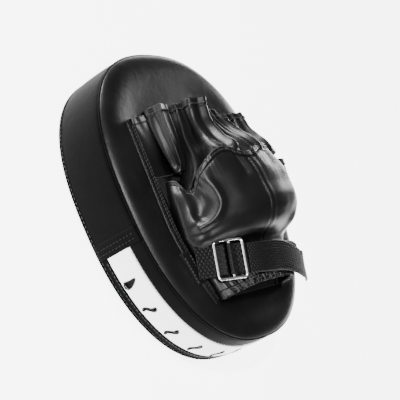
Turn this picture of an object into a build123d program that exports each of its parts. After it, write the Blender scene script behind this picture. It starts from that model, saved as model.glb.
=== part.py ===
"""Focus mitt: padded striking body, hand side with finger, thumb and hand covers, wrist strap.

The mitt lies on its striking face. +Z points out of the hand side, +Y to the fingertips,
+X to the thumb side. The origin is at the centre of the striking face. Millimetres.
"""
import math
import os

from build123d import *

os.makedirs("parts", exist_ok=True)

# ---------------------------------------------------------------- body
BODY_LENGTH = 250.0          # wrist end to finger end
BODY_WIDTH = 199.0
OUTLINE_POWER = 2.36         # 2 is an ellipse, higher is squarer
OUTLINE_EGG = 0.059          # the finger end is a little wider than the wrist end
OUTLINE_POINTS = 48

FACE_HEIGHT = 3.5            # depth of the striking face skin with its rolled edge
FACE_SKIN = 1.5
WELT_HEIGHT = 1.5
WELT_PROUD = 1.0
RIM_DEPTH = 44.3
RIM_SKIN = 2.0
BACK_CROWN = 2.5             # the back panel stands proud of its seam by this much
BACK_SKIN = 1.5
FOAM_GAP = 0.2               # between the foams and the skin around them

FRONT_SEAM_Z = FACE_HEIGHT
RIM_LOW_Z = FRONT_SEAM_Z + WELT_HEIGHT
RIM_HIGH_Z = RIM_LOW_Z + RIM_DEPTH
BACK_SEAM_Z = RIM_HIGH_Z + WELT_HEIGHT
PANEL_TOP_Z = BACK_SEAM_Z + BACK_CROWN

FRONT_FOAM = 14.0            # firm foam behind the striking face
CORE_FOAM = 22.0             # shock foam in the middle; the palm foam fills the rest

BAND_HEM_Y = -30.0           # where the upper rim band ends, on both sides
BAND_HEM_WIDTH = 12.0
BAND_HEM_SKIN = 0.9
STRIP_WIDTH = 24.5
STRIP_LOW_Z = RIM_LOW_Z + 7.0   # it sits nearer the striking face than the hand side
STRIP_SKIN = 1.4
VENT_PITCH = 25.2
VENTS_PER_SIDE = 5           # and one at the wrist end's middle
VENT_LENGTH = 13.0
VENT_WIDTH = 2.6
VENT_SLANT = 18.0
VENT_Z = STRIP_LOW_Z + STRIP_WIDTH / 2 - 3.5

# ---------------------------------------------------------------- hand side
SHEET = 1.0
LAYER_GAP = 0.1
SEAM_X = 64.5                # middle of the left side seam
SEAM_BEND_Y = -20.0          # below this the side seams run in towards the wrist
SEAM_END_Y = -89.0
SEAM_PULL_IN = 20.0
RIGHT_SEAM_X = 61.5
BINDING_WIDTH = 7.5
COVER_TOP_Y = 15.0
COVER_SKIN = 3.0
COVER_SEAM_X = 5.0           # between the centre and the right panel of the hand cover
ELASTIC_WIDTH = 6.0
FINGER_BACK_Y = COVER_TOP_Y + ELASTIC_WIDTH + 1.0

# centre across the mitt, mouth along it, and outer radius, from the little finger side
FINGER_SLEEVES = ((-41.0, 68.0, 9.5), (-7.0, 70.0, 8.5), (12.0, 71.0, 10.0), (38.5, 66.0, 10.0), (59.5, 60.0, 8.5))
SLEEVE_SKIN = 1.2
SLEEVE_HEM = 6.0
HEM_PROUD = 0.6
THUMB_ROOT = (70.8, -37.0)
THUMB_MOUTH = (75.5, 10.0)
THUMB_RADIUS = 12.0

# ---------------------------------------------------------------- strap
WEB_WIDTH = 24.0
WEB_SKIN = 1.3
PATCH_SKIN = 0.6
STRAP_CENTRE = (0.0, -63.2)  # where the strap's middle crosses the mitt
STRAP_CREST_U = 8.0
STRAP_CREST_V = 29.3
STRAP_LEFT_REACH = 47.4
STRAP_RIGHT_REACH = 57.0
STRAP_RIGHT_POWER = 2.4
BUCKLE_CENTRE = (-34.0, -63.2, 72.8)
BUCKLE_ALONG = (0.854, -0.173, 0.491)
BUCKLE_ACROSS = (0.088, 0.977, 0.192)
BUCKLE_LENGTH = 26.0
BUCKLE_WIDTH = 32.0
BUCKLE_WIRE = 2.4
BUCKLE_CORNER = 2.7
BAR_RADIUS = 1.1
BAR_OFFSET = 0.8
PIN_CLEARANCE = 0.15

# ---------------------------------------------------------------- stitches
STITCH_LENGTH = 2.6
STITCH_PITCH = 4.0
STITCH_WIDTH = 0.7
STITCH_HEIGHT = 0.4


def finish(builder, name):
    """Label a finished piece and write it as one STEP file."""
    builder.part.label = name
    export_step(builder.part, f"parts/{name}.step")


def outline_point(angle, inset):
    """Point of the body's outline at an angle of its formula, moved inwards by inset."""
    half_length = BODY_LENGTH / 2 - inset
    half_width = BODY_WIDTH / 2 - inset
    power = 2 / OUTLINE_POWER
    along = math.copysign(abs(math.sin(angle)) ** power, math.sin(angle))
    across = math.copysign(abs(math.cos(angle)) ** power, math.cos(angle))
    return (half_width * across * (1 + OUTLINE_EGG * along), half_length * along)


def outline_sketch(height, inset):
    """Face of the body's outline at a height."""
    step = 2 * math.pi / OUTLINE_POINTS
    points = [outline_point((i + 0.5) * step, inset) for i in range(OUTLINE_POINTS)]
    with BuildSketch(Plane.XY.offset(height)) as face:
        with BuildLine():
            Spline(*points, periodic=True)
        make_face()
    return face.sketch


def add_outline(height, depth, inset, mode=Mode.ADD):
    """Add or cut a prism of the outline from height upwards, inside an open BuildPart."""
    extrude(outline_sketch(height, inset), amount=depth, mode=mode)


def keep_box(low, high):
    """Keep only the space between two corners of an open BuildPart."""
    size = [b - a for a, b in zip(low, high)]
    centre = tuple((a + b) / 2 for a, b in zip(low, high))
    with Locations(centre):
        Box(*size, mode=Mode.INTERSECT)


def rim_segment(name, low_z, high_z, outer_inset, inner_inset, low_y, high_y):
    """Stretch of the rim between two heights, two insets and two places along the mitt."""
    with BuildPart() as segment:
        add_outline(low_z, high_z - low_z, outer_inset)
        add_outline(low_z, high_z - low_z, inner_inset, Mode.SUBTRACT)
        keep_box((-BODY_WIDTH, low_y, low_z), (BODY_WIDTH, high_y, high_z))
    finish(segment, name)


# ================================================================ padded body
with BuildPart() as striking_face:
    add_outline(0, FACE_HEIGHT, 0)
    fillet(striking_face.faces().sort_by(Axis.Z)[0].edges(), radius=FACE_HEIGHT - 0.3)
    add_outline(FACE_SKIN, FACE_HEIGHT - FACE_SKIN, RIM_SKIN, Mode.SUBTRACT)
finish(striking_face, "striking_face")

for welt_name, welt_z in (("front_welt", FRONT_SEAM_Z), ("back_welt", RIM_HIGH_Z)):
    with BuildPart() as welt:
        add_outline(welt_z, WELT_HEIGHT, -WELT_PROUD)
        add_outline(welt_z, WELT_HEIGHT, RIM_SKIN, Mode.SUBTRACT)
    finish(welt, welt_name)

FAR = BODY_LENGTH
STRIP_HIGH_Z = STRIP_LOW_Z + STRIP_WIDTH
BACKING_INSET = STRIP_SKIN + 0.05
rim_segment("rim_band", RIM_LOW_Z, RIM_HIGH_Z, 0, RIM_SKIN, BAND_HEM_Y, FAR)
rim_segment("rim_margin_front", RIM_LOW_Z, STRIP_LOW_Z, 0, RIM_SKIN, -FAR, BAND_HEM_Y)
rim_segment("rim_margin_back", STRIP_HIGH_Z, RIM_HIGH_Z, 0, RIM_SKIN, -FAR, BAND_HEM_Y)
rim_segment("vent_backing", STRIP_LOW_Z, STRIP_HIGH_Z, BACKING_INSET, RIM_SKIN, -FAR, BAND_HEM_Y)


def vent_places():
    """Point, outward direction and side of each vent, at equal steps along the wrist end."""
    places = [(outline_point(-math.pi / 2, 0), (0, -1), 1)]
    steps = 2000
    for side in (-1, 1):
        travelled = 0.0
        wanted = VENT_PITCH
        before = outline_point(-math.pi / 2, 0)
        for i in range(1, steps):
            angle = -math.pi / 2 + side * i * (math.pi / 2) / steps
            here = outline_point(angle, 0)
            travelled += math.dist(before, here)
            if travelled >= wanted and len(places) < 1 + VENTS_PER_SIDE * (1 if side < 0 else 2):
                run = ((here[0] - before[0]) * side, (here[1] - before[1]) * side)
                places.append((here, (run[1], -run[0]), side))
                wanted += VENT_PITCH
            before = here
    return places


with BuildPart() as vent_strip:
    add_outline(STRIP_LOW_Z, STRIP_WIDTH, 0)
    add_outline(STRIP_LOW_Z, STRIP_WIDTH, STRIP_SKIN, Mode.SUBTRACT)
    keep_box((-BODY_WIDTH, -FAR, STRIP_LOW_Z), (BODY_WIDTH, BAND_HEM_Y, STRIP_HIGH_Z))
    for (vent_x, vent_y), (out_x, out_y), vent_side in vent_places():
        vent_plane = Plane(
            origin=(vent_x, vent_y, VENT_Z),
            x_dir=(0, 0, 1),
            z_dir=(out_x, out_y, 0),
        )
        with BuildSketch(vent_plane):
            SlotOverall(VENT_LENGTH, VENT_WIDTH, rotation=vent_side * VENT_SLANT)
        extrude(amount=2 * STRIP_SKIN, both=True, mode=Mode.SUBTRACT)
finish(vent_strip, "vent_strip")

with BuildPart() as band_hems:
    add_outline(RIM_LOW_Z, RIM_DEPTH, -BAND_HEM_SKIN)
    add_outline(RIM_LOW_Z, RIM_DEPTH, -0.05, Mode.SUBTRACT)
    keep_box((-BODY_WIDTH, BAND_HEM_Y, RIM_LOW_Z), (BODY_WIDTH, BAND_HEM_Y + BAND_HEM_WIDTH, RIM_HIGH_Z))
finish(band_hems, "band_hems")

foam_layers = (
    ("front_foam", FACE_SKIN, FACE_SKIN + FRONT_FOAM),
    ("core_foam", FACE_SKIN + FRONT_FOAM, FACE_SKIN + FRONT_FOAM + CORE_FOAM),
    ("palm_foam", FACE_SKIN + FRONT_FOAM + CORE_FOAM, PANEL_TOP_Z - BACK_SKIN),
)
for foam_name, foam_low, foam_high in foam_layers:
    with BuildPart() as foam:
        add_outline(foam_low, foam_high - foam_low, RIM_SKIN + FOAM_GAP)
    finish(foam, foam_name)

with BuildPart() as back_panel:
    add_outline(BACK_SEAM_Z, BACK_CROWN, 0)
    fillet(back_panel.faces().sort_by(Axis.Z)[-1].edges(), radius=BACK_CROWN - 0.3)
    add_outline(BACK_SEAM_Z, BACK_CROWN - BACK_SKIN, RIM_SKIN, Mode.SUBTRACT)
finish(back_panel, "back_panel")


# ================================================================ hand side, flat pieces
def seam_x(y, straight_x):
    """Distance of a side seam from the mitt's middle, at a place along it."""
    if y >= SEAM_BEND_Y:
        return straight_x
    share = (SEAM_BEND_Y - y) / (SEAM_BEND_Y - SEAM_END_Y)
    return straight_x - SEAM_PULL_IN * share ** 1.6


def seam_band(side, straight_x, high_y):
    """Flat band that follows a side seam up to high_y, on the hand side's panel."""
    steps = 5
    bend = SEAM_BEND_Y - SEAM_END_Y
    places = [SEAM_END_Y + bend * i / steps for i in range(steps + 1)]
    inner = [(side * (seam_x(y, straight_x) - HALF_BINDING), y) for y in places]
    outer = [(side * (seam_x(y, straight_x) + HALF_BINDING), y) for y in places]
    with BuildSketch(Plane.XY.offset(SHEET_Z)) as band:
        with BuildLine():
            Spline(*inner)
            Spline(*outer)
            Line(inner[0], outer[0])
            Polyline(
                inner[-1],
                (side * (straight_x - HALF_BINDING), high_y),
                (side * (straight_x + HALF_BINDING), high_y),
                outer[-1],
            )
        make_face()
    extrude(band.sketch, amount=SHEET)


SHEET_Z = PANEL_TOP_Z + LAYER_GAP
FEET_Z = SHEET_Z + SHEET + LAYER_GAP
FINGER_TOP_Y = 62.0
HALF_BINDING = BINDING_WIDTH / 2

with BuildPart() as left_binding:
    seam_band(-1, SEAM_X, FINGER_TOP_Y)
finish(left_binding, "left_binding")

with BuildPart() as right_binding:
    seam_band(1, RIGHT_SEAM_X, COVER_TOP_Y)
finish(right_binding, "right_binding")

LINING_CLEAR = 1.0
with BuildPart() as palm_lining:
    with BuildSketch(Plane.XY.offset(SHEET_Z)):
        lining_left = -SEAM_X + SEAM_PULL_IN + HALF_BINDING + LINING_CLEAR
        lining_right = RIGHT_SEAM_X - SEAM_PULL_IN - HALF_BINDING - LINING_CLEAR
        wide_left = -SEAM_X + HALF_BINDING + LINING_CLEAR
        wide_right = RIGHT_SEAM_X - HALF_BINDING - LINING_CLEAR
        with BuildLine():
            Polyline(
                (lining_left, SEAM_END_Y),
                (wide_left, SEAM_BEND_Y),
                (wide_left, COVER_TOP_Y - 2),
                (wide_right, COVER_TOP_Y - 2),
                (wide_right, SEAM_BEND_Y),
                (lining_right, SEAM_END_Y),
                close=True,
            )
        make_face()
    extrude(amount=SHEET)
finish(palm_lining, "palm_lining")

with BuildPart() as finger_base:
    with BuildSketch(Plane.XY.offset(SHEET_Z)):
        with BuildLine():
            Polyline(
                (-SEAM_X + HALF_BINDING + LINING_CLEAR, COVER_TOP_Y),
                (-SEAM_X + HALF_BINDING + LINING_CLEAR, FINGER_TOP_Y + 4),
                (25.0, FINGER_TOP_Y + 4),
                (70.0, FINGER_TOP_Y - 8),
                (70.0, COVER_TOP_Y + 2),
                (wide_right, COVER_TOP_Y + 2),
                (wide_right, COVER_TOP_Y),
                close=True,
            )
        make_face()
    extrude(amount=SHEET)
finish(finger_base, "finger_base")


# ================================================================ finger and thumb sleeves
def tube(start, end, radius, skin):
    """Tube between two places on the hand side, added to an open BuildPart."""
    centre_z = FEET_Z + radius + LAYER_GAP
    run = Vector(end[0] - start[0], end[1] - start[1], 0)
    with BuildSketch(Plane(origin=(*start, centre_z), z_dir=run)) as section:
        Circle(radius)
        Circle(radius - skin, mode=Mode.SUBTRACT)
    extrude(section.sketch, amount=run.length)


def part_way(start, end, share):
    """Place between two places."""
    return tuple(a + (b - a) * share for a, b in zip(start, end))


def sleeve(root, mouth, radius):
    """Sleeve up to its hem, in an open BuildPart."""
    hem_share = 1 - SLEEVE_HEM / math.dist(root, mouth)
    tube(root, part_way(root, mouth, hem_share), radius, SLEEVE_SKIN)


def hem_ring(root, mouth, radius):
    """Folded hem at a sleeve's mouth, a little thicker than the sleeve, in an open BuildPart."""
    hem_share = 1 - (SLEEVE_HEM - LAYER_GAP) / math.dist(root, mouth)
    tube(part_way(root, mouth, hem_share), mouth, radius + HEM_PROUD, SLEEVE_SKIN + HEM_PROUD)


for number, (finger_x, mouth_y, finger_radius) in enumerate(FINGER_SLEEVES, start=1):
    with BuildPart() as finger:
        sleeve((finger_x, FINGER_BACK_Y), (finger_x, mouth_y), finger_radius)
    finish(finger, f"finger_sleeve_{number}")


with BuildPart() as finger_hems:
    for finger_x, mouth_y, finger_radius in FINGER_SLEEVES:
        hem_ring((finger_x, FINGER_BACK_Y), (finger_x, mouth_y), finger_radius)
finish(finger_hems, "finger_hems")

with BuildPart() as thumb_sleeve:
    sleeve(THUMB_ROOT, THUMB_MOUTH, THUMB_RADIUS)
finish(thumb_sleeve, "thumb_sleeve")

with BuildPart() as thumb_hem:
    hem_ring(THUMB_ROOT, THUMB_MOUTH, THUMB_RADIUS)
finish(thumb_hem, "thumb_hem")

# ================================================================ hand cover
# place along the mitt, left foot, right foot, crest across, crest height, left and right fullness
COVER_STATIONS = (
    (COVER_TOP_Y, -60.0, 58.0, 4.0, 49.0, 0.75, 0.85),
    (-10.0, -61.0, 58.0, 6.0, 51.0, 0.75, 0.85),
    (-34.0, -59.0, 57.5, 8.0, 46.0, 0.60, 0.85),
    (-47.5, -54.0, 56.0, 8.0, 30.0, 0.30, 0.75),
    (-62.0, -50.0, 55.0, 8.0, 26.5, 0.25, 0.70),
    (-78.0, -45.0, 50.0, 8.0, 23.5, 0.30, 0.70),
    (-88.0, -41.0, 45.0, 6.0, 22.5, 0.45, 0.70),
)


def arch_face(station, inset):
    """Closed arch of one station of the hand cover, in a plane across the mitt."""
    y, left, right, crest_x, crest_h, left_full, right_full = station
    foot_left = left + inset
    foot_right = right - inset
    top = crest_h - inset
    plane = Plane(origin=(0, y, FEET_Z), x_dir=(1, 0, 0), z_dir=(0, -1, 0))
    with BuildSketch(plane) as arch:
        with BuildLine():
            Bezier(
                (foot_left, 0),
                (foot_left + 3, top * left_full),
                (crest_x + (foot_left - crest_x) * (0.45 + 0.25 * left_full), top * (0.6 + 0.4 * left_full)),
                (crest_x, top),
            )
            Bezier(
                (crest_x, top),
                (crest_x + (foot_right - crest_x) * (0.45 + 0.2 * right_full), top),
                (foot_right - 2, top * right_full),
                (foot_right, 0),
            )
            Line((foot_right, 0), (foot_left, 0))
        make_face()
    return arch.sketch


def cover_shell(low_x, high_x):
    """Arched shell over the back of the hand, between two places across the mitt."""
    loft([arch_face(station, 0) for station in COVER_STATIONS], ruled=True)
    loft([arch_face(station, COVER_SKIN) for station in COVER_STATIONS], ruled=True, mode=Mode.SUBTRACT)
    keep_box((low_x, -FAR, 0), (high_x, FAR, FAR))


with BuildPart() as hand_cover_centre:
    cover_shell(-FAR, COVER_SEAM_X - LAYER_GAP)
finish(hand_cover_centre, "hand_cover_centre")

with BuildPart() as hand_cover_right:
    cover_shell(COVER_SEAM_X + LAYER_GAP, FAR)
finish(hand_cover_right, "hand_cover_right")


def elastic_arch(station, direction):
    """Elastic band along one open end of the hand cover, in an open BuildPart."""
    extrude(arch_face(station, 0), amount=direction * ELASTIC_WIDTH)
    extrude(arch_face(station, COVER_SKIN), amount=direction * ELASTIC_WIDTH, mode=Mode.SUBTRACT)


top_station = (COVER_TOP_Y + LAYER_GAP,) + COVER_STATIONS[0][1:]
wrist_station = (COVER_STATIONS[-1][0] - LAYER_GAP,) + COVER_STATIONS[-1][1:]
with BuildPart() as knuckle_elastic:
    elastic_arch(top_station, -1)
finish(knuckle_elastic, "knuckle_elastic")

with BuildPart() as wrist_elastic:
    elastic_arch(wrist_station, 1)
finish(wrist_elastic, "wrist_elastic")

# ================================================================ strap and buckle
buckle_normal = Vector(*BUCKLE_ALONG).cross(Vector(*BUCKLE_ACROSS))
buckle_plane = Plane(origin=BUCKLE_CENTRE, x_dir=BUCKLE_ALONG, z_dir=buckle_normal)
across = Vector(*BUCKLE_ACROSS).normalized()
level = across.cross(Vector(0, 0, 1)).normalized()
strap_origin = (STRAP_CENTRE[0], STRAP_CENTRE[1], PANEL_TOP_Z)
# local x runs to the thumb side, local y runs up, and the plane's normal is the webbing's width
strap_plane = Plane(origin=strap_origin, x_dir=level, z_dir=-across)


def strap_point(angle, offset):
    """Point of the strap's arch in the strap plane; angle pi is left and 0 is right."""

    def on_arch(a):
        right = math.cos(a) >= 0
        power = 2 / STRAP_RIGHT_POWER if right else 1.0
        reach = STRAP_RIGHT_REACH if right else STRAP_LEFT_REACH
        u = STRAP_CREST_U + math.copysign(reach * abs(math.cos(a)) ** power, math.cos(a))
        return u, STRAP_CREST_V * math.sin(a) ** power

    small = 0.002
    here = on_arch(angle)
    before = on_arch(angle + small)
    after = on_arch(angle - small)
    run = (after[0] - before[0], after[1] - before[1])
    length = math.hypot(*run)
    return here[0] - offset * run[1] / length, here[1] + offset * run[0] / length


def strap_layer(name, start_angle, end_angle, low, high, width=WEB_WIDTH):
    """One layer of the arched strap, between two angles and two heights over the arch."""
    steps = 12
    angles = [start_angle + (end_angle - start_angle) * i / steps for i in range(steps + 1)]
    under = [strap_point(a, low) for a in angles]
    over = [strap_point(a, high) for a in angles]
    with BuildPart() as layer:
        with BuildSketch(strap_plane):
            with BuildLine():
                Spline(*under)
                Spline(*over)
                Line(under[0], over[0])
                Line(under[-1], over[-1])
            make_face()
        extrude(amount=width / 2, both=True)
    finish(layer, name)


STRAP_START = math.radians(126.0)    # just beyond the buckle's right bar
STRAP_END = math.radians(3.5)
TAIL_END = math.radians(18.0)
PATCH_START = math.radians(95.0)
PATCH_GAP = 0.1
LOOP_LOW = WEB_SKIN + PATCH_GAP
HOOK_LOW = LOOP_LOW + PATCH_SKIN + 0.35
TAIL_LOW = HOOK_LOW + PATCH_SKIN + PATCH_GAP
strap_layer("wrist_strap", STRAP_START, STRAP_END, 0, WEB_SKIN)
strap_layer("loop_patch", PATCH_START, TAIL_END, LOOP_LOW, LOOP_LOW + PATCH_SKIN, WEB_WIDTH - 2)
strap_layer("hook_patch", PATCH_START, TAIL_END, HOOK_LOW, HOOK_LOW + PATCH_SKIN, WEB_WIDTH - 4)
strap_layer("strap_tail", STRAP_START, TAIL_END, TAIL_LOW, TAIL_LOW + WEB_SKIN)

WIRE_RADIUS = BUCKLE_WIRE / 2
FRAME_X = BUCKLE_LENGTH / 2 - WIRE_RADIUS
FRAME_Y = BUCKLE_WIDTH / 2 - WIRE_RADIUS
with BuildPart() as buckle_frame:
    with BuildSketch(buckle_plane, mode=Mode.PRIVATE) as frame_shape:
        RectangleRounded(2 * FRAME_X, 2 * FRAME_Y, BUCKLE_CORNER)
    frame_path = frame_shape.sketch.wires()[0]
    with BuildSketch(Plane(origin=frame_path @ 0, z_dir=frame_path % 0)):
        Circle(WIRE_RADIUS)
    sweep(path=frame_path)
finish(buckle_frame, "buckle_frame")

bar_plane = Plane(
    origin=buckle_plane.from_local_coords((BAR_OFFSET, 0, 0)),
    x_dir=buckle_normal,
    z_dir=across,
)
BAR_HALF = FRAME_Y - WIRE_RADIUS - 0.02
with BuildPart() as buckle_bar:
    with BuildSketch(bar_plane):
        Circle(BAR_RADIUS)
    extrude(amount=BAR_HALF, both=True)
finish(buckle_bar, "buckle_bar")

# the buckle's side view, with x along the buckle and y out of it
side_plane = Plane(origin=BUCKLE_CENTRE, x_dir=BUCKLE_ALONG, z_dir=-across)
WRAP_INNER = BAR_RADIUS + 0.05
WRAP_OUTER = WRAP_INNER + WEB_SKIN
UNDER_BAR = -WIRE_RADIUS - 0.15
TONGUE_END = FRAME_X + WIRE_RADIUS + 0.9
with BuildPart() as strap_wrap:
    with BuildSketch(side_plane):
        with Locations((BAR_OFFSET, 0)):
            Circle(WRAP_OUTER)
        with BuildLine():
            Polyline(
                (BAR_OFFSET, -WRAP_OUTER),
                (BAR_OFFSET + 0.8, WRAP_OUTER - 0.1),
                (FRAME_X - 3.0, UNDER_BAR),
                (TONGUE_END, UNDER_BAR),
                (TONGUE_END, UNDER_BAR - 2 * WEB_SKIN),
                (FRAME_X - 3.0, UNDER_BAR - 2 * WEB_SKIN),
                close=True,
            )
        make_face()
        with Locations((BAR_OFFSET, 0)):
            Circle(WRAP_INNER, mode=Mode.SUBTRACT)
    extrude(amount=WEB_WIDTH / 2, both=True)
finish(strap_wrap, "strap_wrap")

PIN_HOLE = WIRE_RADIUS + PIN_CLEARANCE
LOOP_OUTER = PIN_HOLE + WEB_SKIN
ANCHOR_FOOT = (-24.3, -0.7)
with BuildPart() as anchor_web:
    with BuildSketch(side_plane):
        with Locations((-FRAME_X, 0)):
            Circle(LOOP_OUTER)
        with BuildLine():
            Polyline(
                (-FRAME_X, LOOP_OUTER - 0.1),
                (ANCHOR_FOOT[0], ANCHOR_FOOT[1] + WEB_SKIN),
                (ANCHOR_FOOT[0], ANCHOR_FOOT[1] - WEB_SKIN),
                (-FRAME_X, -LOOP_OUTER + 0.1),
                close=True,
            )
        make_face()
        with Locations((-FRAME_X, 0)):
            Circle(PIN_HOLE, mode=Mode.SUBTRACT)
    extrude(amount=WEB_WIDTH / 2, both=True)
finish(anchor_web, "anchor_web")

TAB_SKIN = 1.6
TAB_CENTRE = (-59.2, -60.5)
TAB_WIDTH = 9.5
TAB_LENGTH = 27.0
TAB_TURN = 13.0
with BuildPart() as anchor_tab:
    with BuildSketch(Plane.XY.offset(FEET_Z)):
        with Locations(TAB_CENTRE):
            RectangleRounded(TAB_WIDTH, TAB_LENGTH, 1.5, rotation=TAB_TURN)
    extrude(amount=TAB_SKIN)
finish(anchor_tab, "anchor_tab")

RIGHT_TAB_CENTRE = (61.0, -68.0)
with BuildPart() as right_strap_tab:
    with BuildSketch(Plane.XY.offset(FEET_Z)):
        with Locations(RIGHT_TAB_CENTRE):
            RectangleRounded(8.0, TAB_LENGTH, 1.5, rotation=-TAB_TURN)
    extrude(amount=SHEET)
finish(right_strap_tab, "right_strap_tab")


# ================================================================ stitches
def stitch_at(x, y, z, turn):
    """One raised stitch on a level surface, added to an open BuildPart."""
    with Locations(Location((x, y, z + STITCH_HEIGHT / 2), (0, 0, turn))):
        Box(STITCH_WIDTH, STITCH_LENGTH, STITCH_HEIGHT)


def seam_row(side, straight_x, offset, low_y, high_y, z):
    """Row of stitches that follows a side seam."""
    for i in range(int((high_y - low_y) / STITCH_PITCH)):
        y = low_y + (i + 0.5) * STITCH_PITCH
        x = seam_x(y, straight_x) + offset
        slope = (seam_x(y + 1, straight_x) - seam_x(y - 1, straight_x)) / 2
        stitch_at(side * x, y, z, -side * math.degrees(math.atan(slope)))


STITCH_Z = FEET_Z - LAYER_GAP
with BuildPart() as side_stitches:
    for row_offset in (1.2, 2.9):
        seam_row(-1, SEAM_X, row_offset, -44.0, FINGER_TOP_Y - 2, STITCH_Z)
finish(side_stitches, "side_stitches")

with BuildPart() as tab_stitches:
    for row_offset in (-3.4, 3.4):
        turn = math.radians(TAB_TURN)
        for i in range(6):
            along = (i - 2.5) * STITCH_PITCH
            stitch_at(
                TAB_CENTRE[0] + row_offset * math.cos(turn) - along * math.sin(turn),
                TAB_CENTRE[1] + row_offset * math.sin(turn) + along * math.cos(turn),
                FEET_Z + TAB_SKIN,
                TAB_TURN,
            )
finish(tab_stitches, "tab_stitches")

with BuildPart() as hem_stitches:
    for side in (-1, 1):
        for row in (3.0, 6.5):
            hem_y = BAND_HEM_Y + row
            share = abs(hem_y) / (BODY_LENGTH / 2)
            reach = (1 - share ** OUTLINE_POWER) ** (1 / OUTLINE_POWER)
            hem_x = (BODY_WIDTH / 2) * (1 - OUTLINE_EGG * share) * reach + 1.3 * BAND_HEM_SKIN
            for i in range(int(RIM_DEPTH / STITCH_PITCH)):
                with Locations((side * hem_x, hem_y, RIM_LOW_Z + (i + 0.6) * STITCH_PITCH)):
                    Box(STITCH_HEIGHT / 2, STITCH_WIDTH, STITCH_LENGTH)
finish(hem_stitches, "hem_stitches")
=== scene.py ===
"""Looks of the focus mitt: skins, covers, sleeves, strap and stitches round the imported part."""
import math

import bpy
import numpy as np
from mathutils import Matrix, Vector


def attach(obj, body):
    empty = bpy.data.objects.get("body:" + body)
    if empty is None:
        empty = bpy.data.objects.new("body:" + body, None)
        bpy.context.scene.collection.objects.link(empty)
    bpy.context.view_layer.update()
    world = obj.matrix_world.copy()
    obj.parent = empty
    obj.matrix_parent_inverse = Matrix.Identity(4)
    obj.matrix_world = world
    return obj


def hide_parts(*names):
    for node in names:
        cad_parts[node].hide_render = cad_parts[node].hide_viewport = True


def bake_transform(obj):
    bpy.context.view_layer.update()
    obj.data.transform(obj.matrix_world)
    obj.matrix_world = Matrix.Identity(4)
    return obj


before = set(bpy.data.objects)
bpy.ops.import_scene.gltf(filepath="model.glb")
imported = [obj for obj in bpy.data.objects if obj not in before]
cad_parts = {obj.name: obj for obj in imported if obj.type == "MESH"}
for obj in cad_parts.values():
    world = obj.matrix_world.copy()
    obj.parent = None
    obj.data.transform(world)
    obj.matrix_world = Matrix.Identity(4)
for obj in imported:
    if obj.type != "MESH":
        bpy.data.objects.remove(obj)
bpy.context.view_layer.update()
MM = 0.001

# ------------------------------------------------------------------ sizes, in millimetres
BODY_LENGTH = 250.0
BODY_WIDTH = 199.0
OUTLINE_POWER = 2.36
OUTLINE_EGG = 0.059
FRONT_SEAM_Z = 4.2
BACK_SEAM_Z = 50.2
PANEL_TOP = 53.3
SHEET_Z = 53.4
FEET_Z = 54.5                # where the cover and the tabs meet the panel
BAND_HEM_Y = -30.0
STRIP_LOW_Z = 12.0
STRIP_HIGH_Z = 36.5
AROUND = 400                 # points round the outline
TANGENT_REACH = 1.5          # how far to each side the outline's direction is measured
MID_Z = (FRONT_SEAM_Z + BACK_SEAM_Z) / 2


# ------------------------------------------------------------------ outline
def distance_along(path):
    """Distance run along a path, at each of its points."""
    return np.concatenate([[0], np.cumsum(np.linalg.norm(np.diff(path, axis=0), axis=1))])


def at_height(flat, z):
    """Flat places with a height added, the same for all or one for each."""
    return np.concatenate([flat, np.broadcast_to(z, flat.shape[:-1])[..., None]], -1)


def outline_raw(angle):
    """The body's outline formula at many angles."""
    power = 2 / OUTLINE_POWER
    along = np.sign(np.sin(angle)) * np.abs(np.sin(angle)) ** power
    across = np.sign(np.cos(angle)) * np.abs(np.cos(angle)) ** power
    x = BODY_WIDTH / 2 * across * (1 + OUTLINE_EGG * along)
    return np.stack([x, BODY_LENGTH / 2 * along], 1)


OUTLINE = outline_raw(np.linspace(-math.pi / 2, 1.5 * math.pi, 8001))
OUTLINE_RUN = distance_along(OUTLINE)
PERIMETER = OUTLINE_RUN[-1]


def outline_at(distance, out=0.0):
    """Points at distances along the outline from the wrist end's middle, moved outwards by out."""
    distance = np.asarray(distance, float)

    def place(d):
        d = np.mod(d, PERIMETER)
        return np.stack([np.interp(d, OUTLINE_RUN, OUTLINE[:, axis]) for axis in range(2)], -1)

    run = place(distance + TANGENT_REACH) - place(distance - TANGENT_REACH)
    run /= np.linalg.norm(run, axis=-1, keepdims=True)
    normal = np.stack([run[..., 1], -run[..., 0]], -1)
    return place(distance) + normal * np.asarray(out)[..., None]


def hem_distance(y):
    """Distance along the outline at which the thumb side reaches y."""
    half = OUTLINE_RUN < PERIMETER / 2
    return float(np.interp(y, OUTLINE[half, 1], OUTLINE_RUN[half]))


HEM_AT = hem_distance(BAND_HEM_Y)


# ------------------------------------------------------------------ mesh helpers
def smooth_noise(points, size, seed):
    """Soft noise from sums of waves, about -1 to 1, over points in millimetres."""
    waves = np.random.default_rng(seed)
    total = np.zeros(points.shape[:-1])
    for _ in range(7):
        direction = waves.normal(size=3)
        direction /= np.linalg.norm(direction)
        period = size * waves.uniform(0.7, 1.6)
        total += np.sin(points @ direction * (2 * math.pi / period) + waves.uniform(0, 2 * math.pi))
    return total / 3.2


def bump(x, centre, width):
    """Bell curve of height 1."""
    return np.exp(-((x - centre) / width) ** 2)


def step(x, low, high):
    """0 below low, 1 above high, smooth between."""
    t = np.clip((x - low) / (high - low), 0, 1)
    return t * t * (3 - 2 * t)


def add_object(name, data):
    """New object in the scene from a mesh, lamp or camera."""
    made = bpy.data.objects.new(name, data)
    bpy.context.collection.objects.link(made)
    return made


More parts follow.
